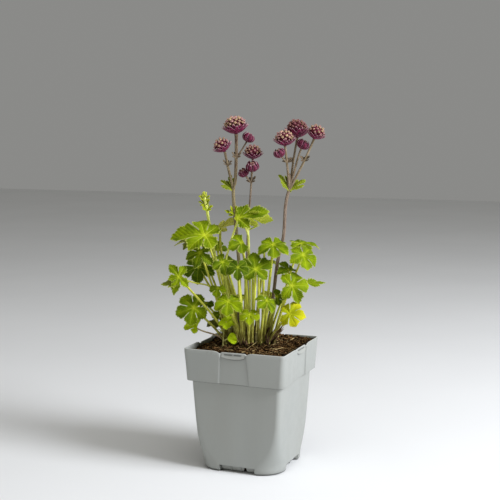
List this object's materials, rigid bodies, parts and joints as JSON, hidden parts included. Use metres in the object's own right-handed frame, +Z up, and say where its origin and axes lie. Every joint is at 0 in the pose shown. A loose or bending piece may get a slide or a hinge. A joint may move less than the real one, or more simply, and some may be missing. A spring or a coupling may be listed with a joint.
{
  "type": "potted great masterwort plant",
  "caption": "Great masterwort: a clump of lobed green leaves and upright stems of burgundy pincushion flower heads, rooted in compost in a square grey nursery pot.",
  "frame": {"origin": "centre of the pot's foot, on the ground", "axes": "+Z up along the pot's axis; +X and -Y are out of two neighbouring side walls of the square pot, and the picture is taken from between them, 21.5 degrees from -Y toward +X"},
  "size_m": [0.1583, 0.1116, 0.3642],
  "materials": {
    "pot_plastic": "matte grey nursery-pot plastic",
    "compost": "moist brown potting compost with bark and fibre",
    "leaf_green": "soft satin leaf, yellow-green",
    "stem_mauve": "ribbed herbaceous stem, mauve-brown",
    "shoot_green": "soft young shoot, pale green",
    "bract_burgundy": "papery bract, burgundy",
    "floret_cream": "tight small florets, cream and pink"
  },
  "bodies": {
    "root": {"pot": "pot_plastic", "soil": "compost", "leaf_upper_left": "leaf_green", "leaf_left_edge": "leaf_green", "leaf_left_hanging": "leaf_green", "leaf_far_left": "leaf_green", "leaf_left_dark": "leaf_green", "leaf_top_mauve": "leaf_green", "leaf_centre_high": "leaf_green", "leaf_left_behind": "leaf_green", "leaf_right_high": "leaf_green", "leaf_right_edge": "leaf_green", "leaf_right_round": "leaf_green", "leaf_centre_big": "leaf_green", "leaf_centre_left": "leaf_green", "leaf_centre_dark": "leaf_green", "leaf_right_low": "leaf_green", "leaf_right_narrow": "leaf_green", "leaf_right_yellow": "leaf_green", "leaf_front": "leaf_green", "leaf_front_left": "leaf_green", "leaf_front_right": "leaf_green", "leaf_right_shade": "leaf_green", "leaf_low_left": "leaf_green", "leaf_over_rim": "leaf_green", "leaf_small_left": "leaf_green", "leaf_left_shade": "leaf_green", "leaf_mauve_low": "leaf_green", "leaf_left_inner": "leaf_green", "leaf_back_left": "leaf_green", "leaf_back_right": "leaf_green", "leaf_back_low_right": "leaf_green", "leaf_back_low_left": "leaf_green", "leaf_top_right": "shoot_green", "shoot_left": "shoot_green", "seedling": "shoot_green", "flower_stem_left": "stem_mauve", "flower_stem_middle": "stem_mauve", "flower_stem_right": "stem_mauve", "old_stalk": "stem_mauve", "head_a_bracts": "bract_burgundy", "head_a_florets": "floret_cream", "head_b_bracts": "bract_burgundy", "head_b_florets": "floret_cream", "head_d_bracts": "bract_burgundy", "head_d_florets": "floret_cream", "head_g_bracts": "bract_burgundy", "head_g_florets": "floret_cream", "head_h_bracts": "bract_burgundy", "head_h_florets": "floret_cream", "head_i_bracts": "bract_burgundy", "head_i_florets": "floret_cream", "bud_c": "bract_burgundy", "bud_e": "bract_burgundy", "bud_f": "bract_burgundy", "bud_j": "bract_burgundy", "bud_k": "bract_burgundy"}
  },
  "joints": []
}
